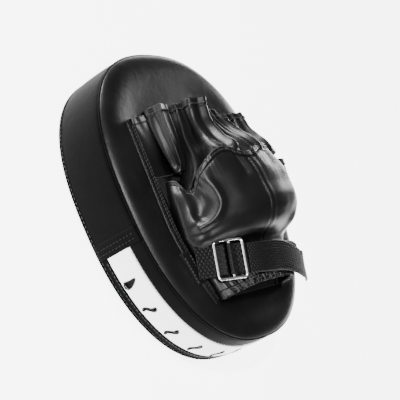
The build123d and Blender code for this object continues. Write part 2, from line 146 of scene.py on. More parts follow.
def mesh_object(name, places, faces, material, body="mitt"):
    """Smooth object from places in millimetres; it rides on a body unless that is None."""
    mesh = bpy.data.meshes.new(name)
    mesh.from_pydata((np.asarray(places) * MM).tolist(), [], faces)
    mesh.validate()
    for polygon in mesh.polygons:
        polygon.use_smooth = True
    mesh.materials.append(material)
    piece = add_object(name, mesh)
    if body:
        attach(piece, body)
    return piece


def grid_object(name, points, material, closed_u=False, closed_v=False, body="mitt", caps=False):
    """Object from a grid of points in millimetres."""
    nu, nv = points.shape[:2]
    faces = []
    for i in range(nu if closed_u else nu - 1):
        for j in range(nv if closed_v else nv - 1):
            a, b = i, (i + 1) % nu
            c, d = j, (j + 1) % nv
            faces.append((a * nv + c, b * nv + c, b * nv + d, a * nv + d))
    if caps:
        faces.append(tuple(range(nv)))
        faces.append(tuple((nu - 1) * nv + j for j in range(nv))[::-1])
    return mesh_object(name, points.reshape(-1, 3), faces, material, body)


def join(name, pieces):
    """One object from several meshes."""
    for other in bpy.context.selected_objects:
        other.select_set(False)
    for piece in pieces:
        piece.select_set(True)
    bpy.context.view_layer.objects.active = pieces[0]
    bpy.ops.object.join()
    pieces[0].name = name
    return pieces[0]


def thicken(piece, thickness):
    """Gives a sheet its thickness in millimetres, grown away from its normals."""
    modifier = piece.modifiers.new("thickness", "SOLIDIFY")
    modifier.thickness = thickness * MM
    modifier.offset = -1.0
    return piece


def tube_points(path, radius, sides):
    """Grid of a round tube along a path."""
    run = np.gradient(path, axis=0)
    run /= np.linalg.norm(run, axis=1, keepdims=True)
    side = np.cross(run, [0.0, 0.0, 1.0])
    weak = np.linalg.norm(side, axis=1) < 0.1
    side[weak] = np.cross(run[weak], [0.0, 1.0, 0.0])
    side /= np.linalg.norm(side, axis=1, keepdims=True)
    top = np.cross(side, run)
    turn = np.linspace(0, 2 * math.pi, sides, endpoint=False)
    ring = np.cos(turn)[None, :, None] * side[:, None] + np.sin(turn)[None, :, None] * top[:, None]
    return path[:, None] + ring * radius


# ------------------------------------------------------------------ materials
def new_material(name):
    """Empty material with its node tree and its shader."""
    material = bpy.data.materials.new(name)
    material.use_nodes = True
    nodes = material.node_tree.nodes
    nodes.clear()
    output = nodes.new("ShaderNodeOutputMaterial")
    shader = nodes.new("ShaderNodeBsdfPrincipled")
    material.node_tree.links.new(shader.outputs[0], output.inputs[0])
    return material, material.node_tree, shader


def node(tree, kind, **values):
    """Adds a node and sets its inputs by name, or its properties."""
    made = tree.nodes.new(kind)
    for key, value in values.items():
        name = key.replace("_", " ")
        hit = [i for i in made.inputs if i.name.lower() == name.lower()]
        if hit:
            hit[0].default_value = value
        else:
            setattr(made, key, value)
    return made


def link(tree, source, target):
    """Joins an output to an input."""
    tree.links.new(source, target)


def texture(tree, kind, **values):
    """Texture node that lies over a piece in the piece's own coordinates."""
    made = node(tree, kind, **values)
    link(tree, node(tree, "ShaderNodeTexCoord").outputs["Object"], made.inputs["Vector"])
    return made


def ramp(tree, source, low, high, low_colour, high_colour):
    """Colour that runs between two as the source goes from low to high."""
    made = tree.nodes.new("ShaderNodeValToRGB")
    made.color_ramp.elements[0].position = low
    made.color_ramp.elements[1].position = high
    made.color_ramp.elements[0].color = (*low_colour, 1)
    made.color_ramp.elements[1].color = (*high_colour, 1)
    link(tree, source, made.inputs[0])
    return made.outputs[0]


def spread(tree, source, low, high):
    """Value that runs from low to high as the source goes from 0 to 1."""
    made = node(tree, "ShaderNodeMapRange", To_Min=low, To_Max=high)
    link(tree, source, made.inputs["Value"])
    return made.outputs[0]


def bumps(tree, height, strength, distance, under=None):
    """Surface normal raised by a height, on top of another one."""
    made = node(tree, "ShaderNodeBump", Strength=strength, Distance=distance)
    link(tree, height, made.inputs["Height"])
    if under:
        link(tree, under, made.inputs["Normal"])
    return made.outputs[0]


def grey(value):
    """Slightly cool grey."""
    return (value, value, value * 1.03)


def leather(name, dark, light, rough, grain, depth, crease=0.25, specular=0.2):
    """Synthetic leather: pebbled grain, soft creases, worn lighter patches."""
    material, tree, shader = new_material(name)
    cells = texture(tree, "ShaderNodeTexVoronoi", Scale=grain)
    fine = texture(tree, "ShaderNodeTexNoise", Scale=grain * 1.7, Detail=3.0)
    broad = texture(tree, "ShaderNodeTexNoise", Scale=22.0, Detail=5.0, Roughness=0.55)
    folds = texture(tree, "ShaderNodeTexNoise", Scale=70.0, Detail=4.0, Distortion=0.8)
    link(tree, ramp(tree, broad.outputs[0], 0.35, 0.7, grey(dark), grey(light)), shader.inputs["Base Color"])
    link(tree, spread(tree, broad.outputs[0], rough - 0.06, rough + 0.09), shader.inputs["Roughness"])
    soft = bumps(tree, folds.outputs[0], crease, 0.0012)
    pebble = bumps(tree, cells.outputs["Distance"], depth, 0.00025, soft)
    link(tree, bumps(tree, fine.outputs[0], depth * 0.7, 0.0001, pebble), shader.inputs["Normal"])
    shader.inputs["Specular IOR Level"].default_value = specular
    return material


def cloth(name, dark, light, scale, rough=0.85, specular=0.2):
    """Fine cloth, thread, webbing, mesh or foam."""
    material, tree, shader = new_material(name)
    grain = texture(tree, "ShaderNodeTexNoise", Scale=scale, Detail=3.0).outputs[0]
    link(tree, ramp(tree, grain, 0.3, 0.75, grey(dark), grey(light)), shader.inputs["Base Color"])
    link(tree, bumps(tree, grain, 0.5, 0.0002), shader.inputs["Normal"])
    shader.inputs["Roughness"].default_value = rough
    shader.inputs["Specular IOR Level"].default_value = specular
    return material


def metal(name):
    """Bright plated wire with fine scratches."""
    material, tree, shader = new_material(name)
    scratch = texture(tree, "ShaderNodeTexNoise", Scale=420.0, Detail=4.0).outputs[0]
    link(tree, spread(tree, scratch, 0.1, 0.3), shader.inputs["Roughness"])
    link(tree, ramp(tree, scratch, 0.3, 0.8, grey(0.72), grey(0.86)), shader.inputs["Base Color"])
    shader.inputs["Metallic"].default_value = 1.0
    return material


FACE = leather("face_leather", 0.003, 0.006, 0.42, 1400.0, 0.25, specular=0.14)
RIM = leather("rim_leather", 0.0008, 0.0018, 0.5, 1400.0, 0.3, specular=0.02)
PANEL = leather("panel_leather", 0.002, 0.005, 0.36, 1500.0, 0.18, specular=0.2)
COVER = leather("cover_leather", 0.0015, 0.003, 0.37, 1700.0, 0.14, crease=0.1, specular=0.28)
SLEEVE = leather("sleeve_leather", 0.0015, 0.003, 0.35, 1900.0, 0.12, crease=0.15, specular=0.28)
WHITE = leather("white_strip_leather", 0.88, 0.95, 0.45, 1500.0, 0.2, crease=0.35)
BLACK_CLOTH = cloth("black_cloth", 0.003, 0.007, 1500.0)
THREAD = cloth("black_thread", 0.02, 0.06, 2500.0, 0.5)
MESH = cloth("black_mesh", 0.002, 0.006, 900.0)
WEBBING = cloth("webbing", 0.0015, 0.006, 1800.0, 0.5, 0.16)
CHROME = metal("chrome")


# ------------------------------------------------------------------ padded body
SKIN = 1.2                   # thickness of the leather
MIDDLE_INSET = 60.0          # the skins are level from this far inside the outline


def panel_height(points, inset):
    """Height of the hand side's panel over its seam, by place and distance from the edge."""
    shoulder = 5.4 * (1 - np.exp(-inset / 4.8)) - 2.6 * step(inset, 11, 40)
    wave = 0.4 * smooth_noise(points, 70, 3) * step(inset, 4, 20) * (1 - step(inset, 30, 60))
    return shoulder + wave


def panel_object(name, seam_z, direction, material, height):
    """Closed skin over one side of the body, from the seam to the middle."""
    insets = np.concatenate([np.linspace(0.4, 12, 16), np.linspace(13.5, 42, 18)])
    distance = np.linspace(0, PERIMETER, AROUND, endpoint=False)
    columns = []
    for inset in insets:
        points = at_height(outline_at(distance, -inset), 0.0)
        points[:, 2] = seam_z + direction * height(points, inset)
        columns.append(points)
    inner = columns[-1].copy()
    for share in (0.85, 0.7, 0.55, 0.4, 0.25, 0.1, 0.015):
        points = inner.copy()
        points[:, :2] *= share
        points[:, 2] = seam_z + direction * height(points, MIDDLE_INSET)
        columns.append(points)
    grid = np.stack(columns, 1)
    if direction < 0:
        grid = grid[::-1]
    return grid_object(name, grid, material, closed_u=True)


def face_height(points, inset):
    """Depth of the striking face below its seam: a rolled edge, then flat to the floor."""
    return FRONT_SEAM_Z * step(inset, -3.5, 9.0)


back_panel = panel_object("back_panel_skin", BACK_SEAM_Z, 1, PANEL, panel_height)
thicken(back_panel, SKIN)
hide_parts("back_panel")
striking_face = panel_object("striking_face_skin", FRONT_SEAM_Z, -1, FACE, face_height)
thicken(striking_face, SKIN)
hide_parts("striking_face")


RIM_BULGE = 1.5
RIM_SUNK = 0.6               # how far the rim stands inside the outline at its seams


def rim_out(z):
    """How far the rim stands out at a height."""
    share = (np.asarray(z, float) - MID_Z) / ((BACK_SEAM_Z - FRONT_SEAM_Z) / 2)
    return RIM_BULGE * np.sqrt(np.clip(1 - share ** 2, 0, 1)) - RIM_SUNK


def rim_skin(name, low, high, start, end, material, thickness=1.4, lift=0.0, count=260, tuck=0.8):
    """Stretch of the rim between two heights; its edges tuck in towards their seams."""
    heights = np.linspace(low, high, 25)
    edge = np.minimum(heights - low, high - heights)
    outs = rim_out(heights) + lift - tuck * np.exp(-edge / 0.9)
    distance = np.linspace(start, end, count)
    grid = np.stack([at_height(outline_at(distance, out), z) for out, z in zip(outs, heights)], 1)
    return thicken(grid_object(name, grid, material), thickness)


GAP = 0.35
LOW_Z = FRONT_SEAM_Z + 0.9
HIGH_Z = BACK_SEAM_Z - 0.7
rim_band = rim_skin("rim_band_skin", LOW_Z, HIGH_Z, HEM_AT, PERIMETER - HEM_AT, RIM, count=420)
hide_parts("rim_band")
WRIST = (-HEM_AT, HEM_AT)
margin_front = rim_skin("rim_margin_front_skin", LOW_Z, STRIP_LOW_Z - GAP, *WRIST, RIM, lift=-0.2)
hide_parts("rim_margin_front")
margin_back = rim_skin("rim_margin_back_skin", STRIP_HIGH_Z + GAP, HIGH_Z, *WRIST, RIM, lift=-0.2)
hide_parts("rim_margin_back")
strip = rim_skin("vent_strip_skin", STRIP_LOW_Z, STRIP_HIGH_Z, *WRIST, WHITE, thickness=SKIN)
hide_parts("vent_strip")


WELT_SIDES = 10
WELT_WOBBLE = 0.05           # share of its radius by which the piping swells and thins


def welt(name, z, out, radius):
    """Piping round the whole body."""
    distance = np.linspace(0, PERIMETER, AROUND, endpoint=False)
    flat = outline_at(distance, out)
    normal = outline_at(distance, out + 1.0) - flat
    turn = np.linspace(0, 2 * math.pi, WELT_SIDES, endpoint=False)
    size = radius * (1 + WELT_WOBBLE * np.sin(distance * 2.1))
    ring = at_height(normal[:, None] * np.cos(turn)[None, :, None], np.sin(turn)[None, :])
    grid = at_height(flat, z)[:, None] + ring * size[:, None, None]
    return grid_object(name, grid, RIM, closed_u=True, closed_v=True)


front_welt = welt("front_welt_piping", FRONT_SEAM_Z + 0.2, -0.55, 0.85)
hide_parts("front_welt")
back_welt = welt("back_welt_piping", BACK_SEAM_Z - 0.1, -0.45, 0.8)
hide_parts("back_welt")


def band_hem(name, start, end):
    """Doubled end of the rim band: two skins thick, with a rolled edge at the white strip."""
    heights = np.linspace(FRONT_SEAM_Z + 1.0, BACK_SEAM_Z - 0.9, 40)
    distance = np.linspace(start, end, 40)
    share = np.linspace(0, 1, 40)
    rows_pull = 0.35 * bump(share, 0.26, 0.05) + 0.35 * bump(share, 0.6, 0.05)
    edge_pull = 0.8 * bump(share, 0.0, 0.04) + 0.6 * bump(share, 1.0, 0.05)
    columns = []
    for z in heights:
        quilt = 0.9 - rows_pull - edge_pull + 0.12 * math.sin(z * 1.9)
        columns.append(at_height(outline_at(distance, rim_out(z) + quilt), z))
    return thicken(grid_object(name, np.stack(columns, 1), RIM), 0.8)


HEM_FAR = hem_distance(BAND_HEM_Y + 12.0)
near_hem = band_hem("band_hem_thumb_side", HEM_AT - 0.5, HEM_FAR)
far_hem = band_hem("band_hem_finger_side", PERIMETER - HEM_AT + 0.5, PERIMETER - HEM_FAR)
for polygon in far_hem.data.polygons:
    polygon.flip()
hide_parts("band_hems")
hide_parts("band_hems")


def rim_row(name, distances, heights, out, **options):
    """Stitches on the rim through places given as distance round the outline and height."""
    heights = np.broadcast_to(heights, distances.shape)
    path = at_height(outline_at(distances, rim_out(heights) + out), heights)
    normal = at_height(outline_at(distances, 1.0) - outline_at(distances), 0.0)
    return stitches(name, path, normal, **options)


# ------------------------------------------------------------------ helpers for sewn pieces
def smooth_curve(knots, values, wanted):
    """Rows of values at wanted places, on a smooth curve through rows at knots."""
    knots = np.asarray(knots, float)
    values = np.asarray(values, float)
    wanted = np.clip(np.asarray(wanted, float), knots[0], knots[-1])
    slopes = np.gradient(values, knots, axis=0)
    i = np.clip(np.searchsorted(knots, wanted, side="right") - 1, 0, len(knots) - 2)
    h = knots[i + 1] - knots[i]
    s = (wanted - knots[i]) / h
    shape = (len(wanted),) + (1,) * (values.ndim - 1)
    h, s = h.reshape(shape), s.reshape(shape)
    return (
        (1 + 2 * s) * (1 - s) ** 2 * values[i]
        + s * (1 - s) ** 2 * h * slopes[i]
        + s * s * (3 - 2 * s) * values[i + 1]
        + s * s * (s - 1) * h * slopes[i + 1]
    )


def grid_normals(points, closed_v=False):
    """Unit normals of a grid of points."""
    du = np.gradient(points, axis=0)
    if closed_v:
        dv = (np.roll(points, -1, axis=1) - np.roll(points, 1, axis=1)) / 2
    else:
        dv = np.gradient(points, axis=1)
    normal = np.cross(du, dv)
    return normal / (np.linalg.norm(normal, axis=2, keepdims=True) + 1e-9)


def near_path(x, y, path, width):
    """Bell of height 1 round a path of places on the mitt."""
    path = np.asarray(path, float)
    run = distance_along(path)
    path = smooth_curve(run, path, np.linspace(0, run[-1], 5 * len(path)))
    best = np.full(x.shape, 1e9)
    for (ax, ay), (bx, by) in zip(path[:-1], path[1:]):
        reach = (bx - ax) ** 2 + (by - ay) ** 2
        t = np.clip(((x - ax) * (bx - ax) + (y - ay) * (by - ay)) / reach, 0, 1)
        best = np.minimum(best, (x - ax - t * (bx - ax)) ** 2 + (y - ay - t * (by - ay)) ** 2)
    return np.exp(-best / width ** 2)


def rows_at(wanted, run, rows):
    """Rows of three values at wanted distances along a path."""
    return np.stack([np.interp(wanted, run, rows[:, axis]) for axis in range(3)], -1)


STITCH_SIDES = 6
# rings of a stitch: place along it as a share of its length, and share of its full size
STITCH_RINGS = ((-0.5, 0.35), (-0.3, 0.95), (0.3, 0.95), (0.5, 0.35))


def stitches(name, path, normal, pitch=3.4, length=2.5, width=0.75, height=0.42, zigzag=0.0):
    """Row of raised thread stitches along a path that lies on a surface with the given normals."""
    path = np.asarray(path, float)
    normal = np.broadcast_to(np.asarray(normal, float), path.shape)
    run = distance_along(path)
    places, faces = [], []
    turn = np.linspace(0, 2 * math.pi, STITCH_SIDES, endpoint=False)
    count = int(run[-1] / pitch)
    draw = np.random.default_rng(len(name) * 31 + count)
    for k in range(count):
        middle = (k + 0.5) * pitch + draw.uniform(-0.12, 0.12)
        centre = rows_at(middle, run, path)
        along = rows_at(middle + length / 2, run, path) - rows_at(middle - length / 2, run, path)
        along /= np.linalg.norm(along) + 1e-9
        up = rows_at(middle, run, normal)
        up /= np.linalg.norm(up)
        side = np.cross(up, along)
        if zigzag:
            sign = 1 if k % 2 else -1
            along = along * math.cos(zigzag) + sign * side * math.sin(zigzag)
            side = np.cross(up, along)
        along = along + draw.uniform(-0.06, 0.06) * side
        first = len(places)
        for share, grow in STITCH_RINGS:
            for a in turn:
                place = centre + along * share * length + side * math.cos(a) * width / 2 * grow
                places.append(place + up * (math.sin(a) * height * grow + 0.1))
        for r in range(len(STITCH_RINGS) - 1):
            for q in range(STITCH_SIDES):
                a = first + r * STITCH_SIDES + q
                b = first + r * STITCH_SIDES + (q + 1) % STITCH_SIDES
                faces.append((a, b, b + STITCH_SIDES, a + STITCH_SIDES))
        last = len(places) - STITCH_SIDES
        faces.append(tuple(range(first, first + STITCH_SIDES))[::-1])
        faces.append(tuple(range(last, last + STITCH_SIDES)))
    return mesh_object(name, places, faces, THREAD)


def flat_path(points, z, count=120):
    """Smooth path at one height through given places."""
    points = np.asarray(points, float)
    run = distance_along(points)
    flat = smooth_curve(run, points, np.linspace(0, run[-1], count))
    return at_height(flat, z)


# ------------------------------------------------------------------ side seams and flat pieces
SEAM_BEND_Y = -20.0
SEAM_END_Y = -89.0


def seam_line(side, straight_x, high_y, inset=0.0, count=150):
    """Path of a side seam on the hand side, moved inwards by inset."""
    y = np.linspace(SEAM_END_Y, high_y, count)
    share = np.clip((SEAM_BEND_Y - y) / (SEAM_BEND_Y - SEAM_END_Y), 0, 1)
    x = side * (straight_x - 20 * share ** 1.6)
    run = np.gradient(np.stack([x, y], 1), axis=0)
    run /= np.linalg.norm(run, axis=1, keepdims=True)
    normal = np.stack([run[:, 1], -run[:, 0]], 1) * -side
    return np.stack([x, y], 1) + normal * inset


# section of a seam's allowance, from its outer edge inwards: (distance inside the seam, height)
BINDING_PROFILE = (
    (-4.4, 53.2), (-4.5, 54.2), (-4.0, 55.5), (-3.2, 55.9), (-2.4, 55.5), (-1.7, 54.9), (-0.9, 55.1),
    (0.3, 55.35), (1.0, 55.15), (1.6, 54.8), (2.2, 55.1), (3.0, 55.3), (3.7, 54.9), (4.2, 54.3), (4.3, 53.2),
)


def binding(name, side, straight_x, high_y):
    """Doubled seam allowance: a rolled outer edge, then a flat band quilted down by stitches."""
    rows = []
    for inset, z in BINDING_PROFILE:
        flat = seam_line(side, straight_x, high_y, inset)
        ripple = 0.1 * np.sin(flat[:, 1] * 1.7) + 0.07 * np.sin(flat[:, 1] * 0.6 + inset)
        rows.append(at_height(flat, z + ripple))
    grid = np.stack(rows, 0)
    if side > 0:
        grid = grid[::-1]
    return grid_object(name, grid, PANEL)


LEFT_SEAM_X = 64.5
RIGHT_SEAM_X = 61.5
QUILT_Z = 54.95              # height of the stitches that hold a seam's allowance down
left_binding = binding("left_seam_allowance", -1, LEFT_SEAM_X, 62.0)
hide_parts("left_binding")
right_binding = binding("right_seam_allowance", 1, RIGHT_SEAM_X, 15.0)
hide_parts("right_binding")
UP = (0.0, 0.0, 1.0)
rows = []
for inset, z, label in ((-1.7, 54.8, "a"), (1.5, QUILT_Z, "b"), (3.8, QUILT_Z, "c")):
    path = at_height(seam_line(-1, LEFT_SEAM_X, 61.0, inset), z)
    name = "left_seam_stitches_" + label
    rows.append(stitches(name, path, UP, pitch=2.9, length=2.2, width=0.5, height=0.3))
side_stitches = join("left_seam_stitches", rows)
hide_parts("side_stitches")
right_path = at_height(seam_line(1, RIGHT_SEAM_X, 14.0, 1.5), QUILT_Z)
right_stitches = stitches("right_seam_stitches", right_path, UP)


def level_sheet(name, outline, z, material, relief):
    """Thin sheet over a four-sided outline of places, with a height relief."""
    a, b, c, d = (np.asarray(p, float) for p in outline)
    u = np.linspace(0, 1, 90)[:, None, None]
    v = np.linspace(0, 1, 90)[None, :, None]
    flat = (a * (1 - u) + b * u) * (1 - v) + (d * (1 - u) + c * u) * v
    points = at_height(flat, z + relief(flat[..., 0], flat[..., 1]))
    return thicken(grid_object(name, points, material), 0.8)


def lining_relief(x, y):
    """Softly uneven cloth."""
    return 0.9 + 0.25 * smooth_noise(np.stack([x, y, 0 * x], -1), 30, 5)


palm_lining = level_sheet(
    "palm_lining_cloth", ((-44, -88), (42, -88), (56, 14), (-59, 14)), SHEET_Z, BLACK_CLOTH, lining_relief
)
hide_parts("palm_lining")


def base_relief(x, y):
    """Flat leather under the finger sleeves, gathered towards its outer corner."""
    gathers = 0.5 * np.sin((x + 0.2 * y) * 1.1) * step(y, 44, 66) * step(-x, 46, 56)
    hem = 0.5 * step(y, 59.5, 60.5)
    soft = 0.3 * smooth_noise(np.stack([x, y, 0 * x], -1), 22, 8)
    flank = 7.5 * step(x, -61.5, -47.0) * (1 - step(x, -46, -38)) * step(y, 10, 66)
    return 0.75 + gathers + hem + soft + flank


finger_base = level_sheet(
    "finger_base_leather", ((-60.5, 6), (54, 10), (66, 60), (-60.5, 65.5)), SHEET_Z, SLEEVE, base_relief
)
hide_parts("finger_base")
cross_seam = flat_path(((-61, 14.3), (-52, 14.8), (-44, 15.4), (-36.5, 16)), 55.0, 60)
stitches("cross_seam_stitches", cross_seam, UP, pitch=3.0, length=1.9)
base_hem = flat_path(((-60.5, 60.0), (-56, 60.2), (-52, 60.4)), 55.6, 30)
stitches("base_hem_stitches", base_hem, UP, pitch=2.8, length=2.0)

# ------------------------------------------------------------------ hand cover
# places (x, z) across each station of the cover, from the little finger side over to the thumb side
COVER_STATIONS = {
    -92: ((-42, 54.5), (-42, 60), (-36, 67), (-28, 71), (-18, 74), (-6, 76),
        (6, 77), (20, 77), (34, 74), (42, 65), (44, 54.5)),
    -76: ((-45, 54.5), (-46, 59), (-41, 63), (-33, 67.5), (-22, 73), (-7, 78),
        (6, 79.5), (24, 79), (40, 75), (49, 66), (50, 54.5)),
    -62: ((-50, 54.5), (-47, 57.5), (-42, 60.5), (-34, 64.5), (-24, 70), (-8, 78),
        (6, 80.4), (26, 79.5), (44, 74), (53, 65), (55, 54.5)),
    -52: ((-53, 54.5), (-53, 58), (-48, 61.5), (-41, 65.5), (-30, 71.5), (-10, 79.5),
        (6, 82), (26, 81), (45, 77), (55, 67), (56, 54.5)),
    -46: ((-55, 54.5), (-56, 59), (-53, 66.5), (-46, 72), (-34, 80), (-12, 90),
        (5, 93.5), (26, 93.5), (46, 88), (58, 74), (57.5, 54.5)),
    -38: ((-57, 54.5), (-59, 60), (-54, 69), (-47.5, 76), (-38, 84.5), (-12, 97),
        (4, 100.5), (28, 101), (49, 93.5), (61, 76), (58, 54.5)),
    -28: ((-56.5, 54.5), (-59.5, 60.5), (-56, 68.5), (-49.5, 74), (-40, 84), (-12, 99.5),
        (4, 103.8), (29, 104.5), (52, 97), (63, 77), (58.5, 54.5)),
    -15: ((-56, 54.5), (-59, 61), (-56, 68), (-49, 72.5), (-39.5, 84.5), (-13, 99),
        (3, 103.5), (28, 104.5), (51.5, 97.5), (62.5, 77), (58.5, 54.5)),
    -2: ((-54, 54.5), (-56, 60), (-52.5, 66), (-47, 70), (-40.5, 85), (-15, 99.5),
        (0, 104), (27, 104.5), (51, 97), (62.5, 77), (58.5, 54.5)),
    8: ((-50, 54.5), (-50, 58), (-47.5, 62), (-44.5, 67), (-42, 85.5), (-18, 98.5),
        (-3, 102.5), (25, 102.5), (47.5, 95), (60, 76), (58, 54.5)),
    24: ((-47, 54.5), (-47, 57), (-45, 60), (-44, 66), (-42, 84), (-20, 96.5),
        (-6, 101), (23, 99.5), (44, 91.5), (56, 76), (57.5, 54.5)),
}
HEM_TOP_Y = (10.5, 10.0, 7.0, -3.0, 9.5, 20.0, 12.0, 19.5, 21.5, 22.0, 21.0)
HEM_LOW_Y = (-90.0, -90.0, -89.0, -88.0, -87.0, -86.5, -86.5, -86.5, -86.5, -88.0, -89.0)
CREST = 6                    # which of the places across is the seam between the two panels
PLUNGE = 3                   # which of them is where the knuckle hem starts to drop
COVER_LENGTH = 106.0
HEM_WIDTH = 5.0
WRIST_HEM_WIDTH = 6.625
COVER_ACROSS = 330           # points across the cover, and along it
COVER_ALONG = 250
# folds of the cover: height, route, width and, for some, the stretch across it where they fade out
FOLDS = (
    (2.8, ((-45, 8), (-42, -1), (-38, -11), (-37, -21), (-42, -30), (-48, -34), (-53, -35)), 3.2),
    (-2.0, ((-46, -2), (-44.5, -11), (-45.5, -19), (-50, -25)), 5.0, (62, 74)),
    (0.5, ((-50, 5), (-55, -8), (-57, -26), (-54, -42)), 4.6, (20, 30)),
    (0.4, ((-44, -45), (-33, -44), (-18, -46)), 4.4),
    (-0.7, ((-47, -39), (-30, -38), (-20, -41)), 4.4),
    (1.6, ((38, -48), (47, -41), (57, -27)), 3.4),
    (-1.9, ((47, -47), (55, -37), (61, -24)), 3.4),
    (0.6, ((-34, 14), (-26, 6), (-22, -8), (-21, -20)), 6.0),
    (-1.3, ((-13, 13), (-12, 5), (-10, -4)), 4.0),
    (0.4, ((8, 14), (10, 8), (12, 0)), 5.0),
    (-0.5, ((22, 18), (25, 10), (25, 2)), 5.0),
    (0.4, ((36, 18), (39, 6), (40, -6)), 5.0),
)


def cover_grid():
    """Points of the plain hand cover, and its measures across and along."""
    stations = sorted(COVER_STATIONS)
    table = np.array([COVER_STATIONS[y] for y in stations], float)
    chord = np.linalg.norm(np.diff(table, axis=1), axis=2).mean(0)
    places = np.concatenate([[0], np.cumsum(chord)])
    s = np.linspace(0, places[-1], COVER_ACROSS)
    top_y = smooth_curve(places, np.array(HEM_TOP_Y)[:, None], s)[:, 0]
    low_y = smooth_curve(places, np.array(HEM_LOW_Y)[:, None], s)[:, 0]
    wide = np.stack([smooth_curve(places, row, s) for row in table], 0)
    points = np.zeros((COVER_ACROSS, COVER_ALONG, 3))
    v = np.linspace(0, 1, COVER_ALONG)
    for i in range(COVER_ACROSS):
        y = low_y[i] + (top_y[i] - low_y[i]) * v
        points[i, :, [0, 2]] = smooth_curve(stations, wide[:, i], y).T
        points[i, :, 1] = y
    return points, s, places, v


cover_points, cover_s, cover_places, cover_v = cover_grid()
X, Y = cover_points[..., 0], cover_points[..., 1]
S = np.broadcast_to(cover_s[:, None], X.shape)
to_top = cover_points[:, -1, 1][:, None] - Y
to_low = Y - cover_points[:, 0, 1][:, None]
seam_s = cover_places[CREST]
free = step(cover_s, 4, 16) * (1 - step(cover_s, cover_s[-1] - 14, cover_s[-1] - 3))
free = free[:, None]
lift = np.zeros_like(X)
for height, route, width, *fades in FOLDS:
    fold = height * near_path(X, Y, route, width)
    for fade_from, fade_to in fades:
        fold = fold * (1 - step(S, fade_from, fade_to))
    lift += fold
lift += free * 0.35 * smooth_noise(cover_points, 38, 21) + free * 0.07 * smooth_noise(cover_points, 13, 22)
top_pull = np.exp(-to_top / 9.0)
low_pull = np.exp(-to_low / 7.0)
# gathers at the hems: height, where they are, spacing, and how far and how fast the spacing sways
for height, pull, spacing, sway, pace in (
    (0.22, top_pull, 7.3, 1.3, 0.21), (0.08, top_pull, 3.1, 1.0, 0.6),
    (1.1, low_pull, 5.6, 1.6, 0.17), (0.5, low_pull, 2.7, 1.0, 0.5),
):
    lift += height * pull * np.sin(S * 2 * math.pi / spacing + sway * np.sin(S * pace)) * free
lift -= 0.45 * np.exp(-((S - seam_s) / 0.7) ** 2) * step(to_low, 5, 12)
lift += 0.35 * np.exp(-((np.abs(S - seam_s) - 3.0) / 2.4) ** 2) * step(to_low, 5, 12)
lift -= 0.45 * np.exp(-((to_top - HEM_WIDTH) / 0.8) ** 2) * free * step(S, 34, 42)
under_strap = bump(Y, -63, 11.5)
lift *= 1 - 0.85 * under_strap
cover_normals = grid_normals(cover_points)
cover_points = cover_points + cover_normals * lift[..., None]
cover_points[..., 2] = np.maximum(cover_points[..., 2], FEET_Z + 0.05)
cover_normals = grid_normals(cover_points)
split = int(np.argmin(np.abs(cover_s - seam_s)))

top_row = int(np.searchsorted(cover_v, 1 - HEM_WIDTH / COVER_LENGTH))
low_row = int(np.searchsorted(cover_v, WRIST_HEM_WIDTH / COVER_LENGTH))


def cover_panel(name, across):
    """One of the cover's two panels, between the hems."""
    return thicken(grid_object(name, cover_points[across, low_row:top_row], COVER), 2.0)


cover_centre = cover_panel("hand_cover_centre_leather", slice(split + 1))
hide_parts("hand_cover_centre")
cover_right = cover_panel("hand_cover_right_leather", slice(split, None))
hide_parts("hand_cover_right")


def cover_band(name, columns, out, thickness, hem_from=0.0):
    """Band of the cover between two rows of its grid, standing out from it."""
    points, normals = cover_points[:, columns], cover_normals[:, columns]
    edge = np.arange(points.shape[1])
    rolls = 0.35 * np.exp(-((edge - edge[-1]) / 1.5) ** 2) + 0.35 * np.exp(-(edge / 1.5) ** 2)
    stands = out * step(cover_s, hem_from, hem_from + 8)[:, None, None]
    grid = points + normals * stands - normals * rolls[None, :, None]
    return thicken(grid_object(name, grid, COVER), thickness)


def cover_row(across, column, out):
    """Path along one row of the cover's grid, lifted off it, and the normals there."""
    normals = cover_normals[across, column]
    return cover_points[across, column] + normals * out, normals


PLUNGE_S = cover_places[PLUNGE]
knuckle_hem = cover_band("knuckle_hem_gathered", slice(top_row - 1, None), 0.2, 1.8, PLUNGE_S - 8)
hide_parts("knuckle_elastic")
wrist_hem = cover_band("wrist_hem_gathered", slice(0, low_row + 1), 0.45, 2.4)
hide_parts("wrist_elastic")
hem_column = (top_row + len(cover_v)) // 2 - 2
path, normal = cover_row(slice(int(np.searchsorted(cover_s, PLUNGE_S)), -12), hem_column, 0.3)
knuckle_stitches = stitches(
    "knuckle_hem_stitches", path, normal, pitch=2.2, length=1.6, width=0.4, height=0.22, zigzag=0.35
)
for column, label in ((low_row - 3, "a"), (low_row // 2, "b")):
    path, normal = cover_row(slice(12, -12), column, 0.45)
    wrist_stitches = stitches("wrist_hem_stitches_" + label, path, normal, pitch=2.8, length=2.0)

# ------------------------------------------------------------------ finger and thumb sleeves
BASE_Z = 54.6
SLEEVE_ROWS = 120
SLEEVE_AROUND = 120
STITCHED_IN = 5.0            # how far inside a sleeve's mouth its hem is sewn
STITCHED_PART = slice(4, 62)  # the points round a sleeve that face upwards


